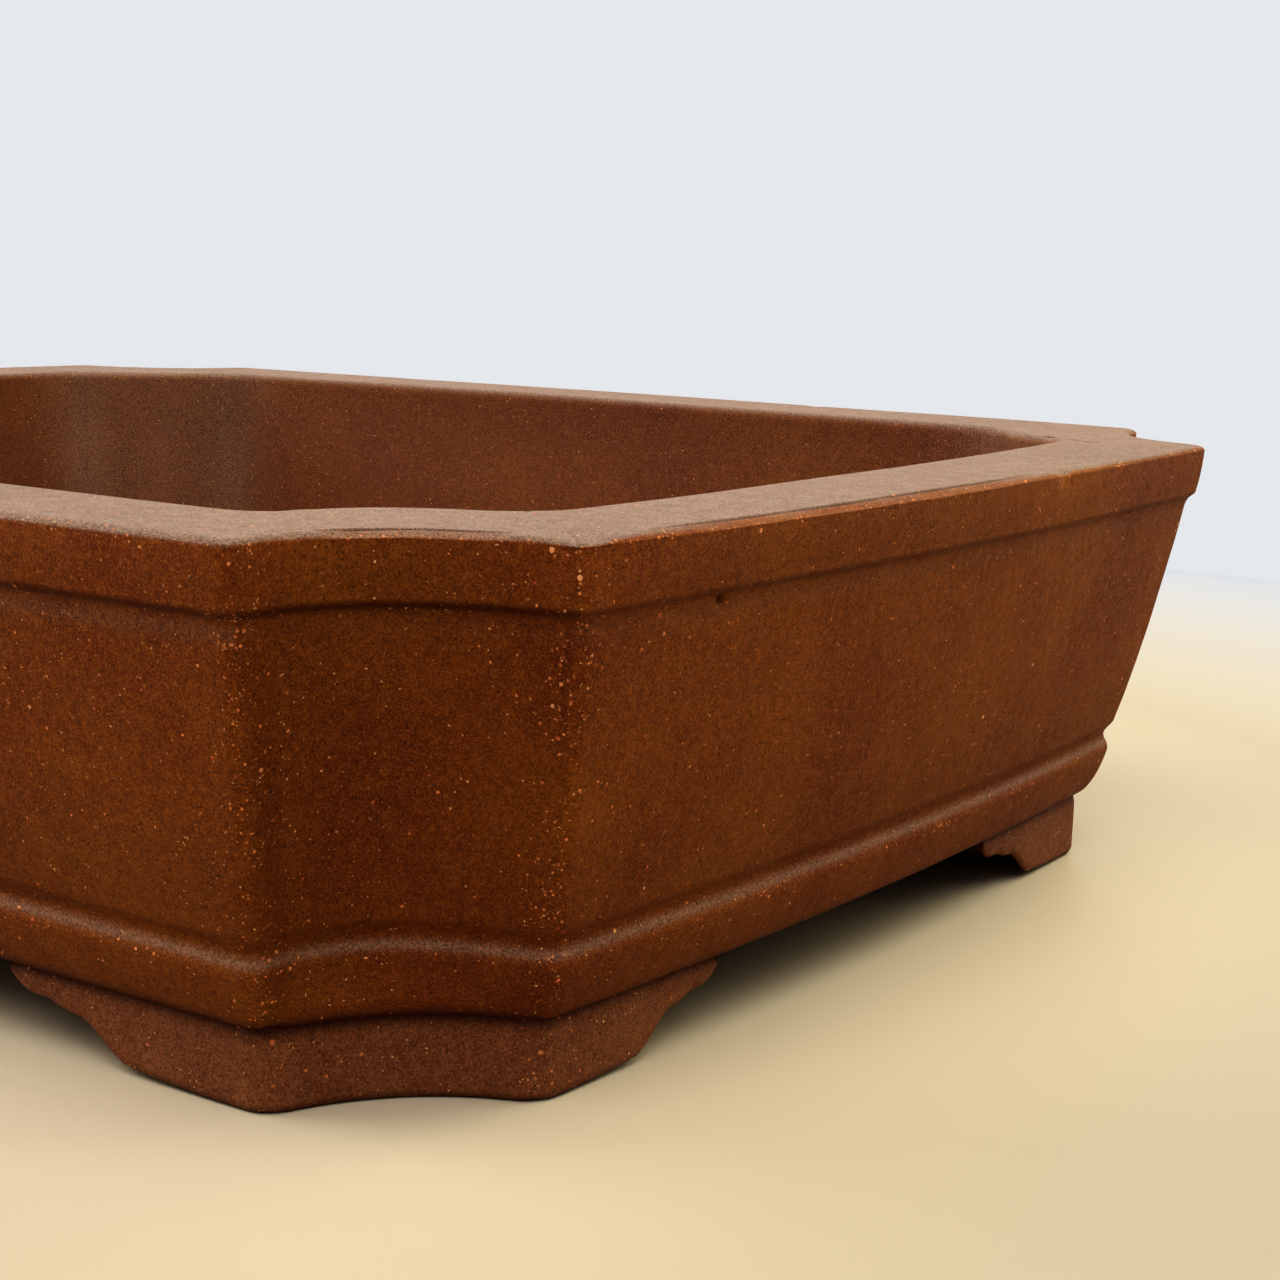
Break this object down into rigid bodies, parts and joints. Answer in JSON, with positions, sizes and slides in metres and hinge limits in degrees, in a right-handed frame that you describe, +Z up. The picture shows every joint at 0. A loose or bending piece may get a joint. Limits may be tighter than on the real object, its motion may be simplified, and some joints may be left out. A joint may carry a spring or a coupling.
{
  "type": "bonsai pot",
  "caption": "Rectangular unglazed stoneware bonsai pot with hollowed cut corners, rim lip, belt moulding, bracket feet and screened drain holes.",
  "frame": {"origin": "centre of the pot's footprint, on the surface the feet stand on", "axes": "+Z up, +X along the pot's length, -Y towards the front long side"},
  "size_m": [0.3064, 0.2414, 0.075],
  "materials": {
    "clay": "unglazed, satin fired body with fine grog",
    "foot_clay": "unglazed, greyer and more matt than the walls",
    "screen": "moulded plastic net",
    "wire": "soft drawn wire"
  },
  "bodies": {
    "root": {"floor": "clay", "wall_front": "clay", "wall_right": "clay", "wall_back": "clay", "wall_left": "clay", "corner_front_right": "clay", "corner_back_right": "clay", "corner_back_left": "clay", "corner_front_left": "clay", "rim_front": "clay", "rim_right": "clay", "rim_back": "clay", "rim_left": "clay", "rim_front_right": "clay", "rim_back_right": "clay", "rim_back_left": "clay", "rim_front_left": "clay", "belt_front": "clay", "belt_right": "clay", "belt_back": "clay", "belt_left": "clay", "belt_front_right": "clay", "belt_back_right": "clay", "belt_back_left": "clay", "belt_front_left": "clay", "foot_front_right": "foot_clay", "foot_back_right": "foot_clay", "foot_back_left": "foot_clay", "foot_front_left": "foot_clay", "screen_right": "screen", "screen_left": "screen", "clip_right": "wire", "clip_left": "wire"}
  },
  "joints": []
}
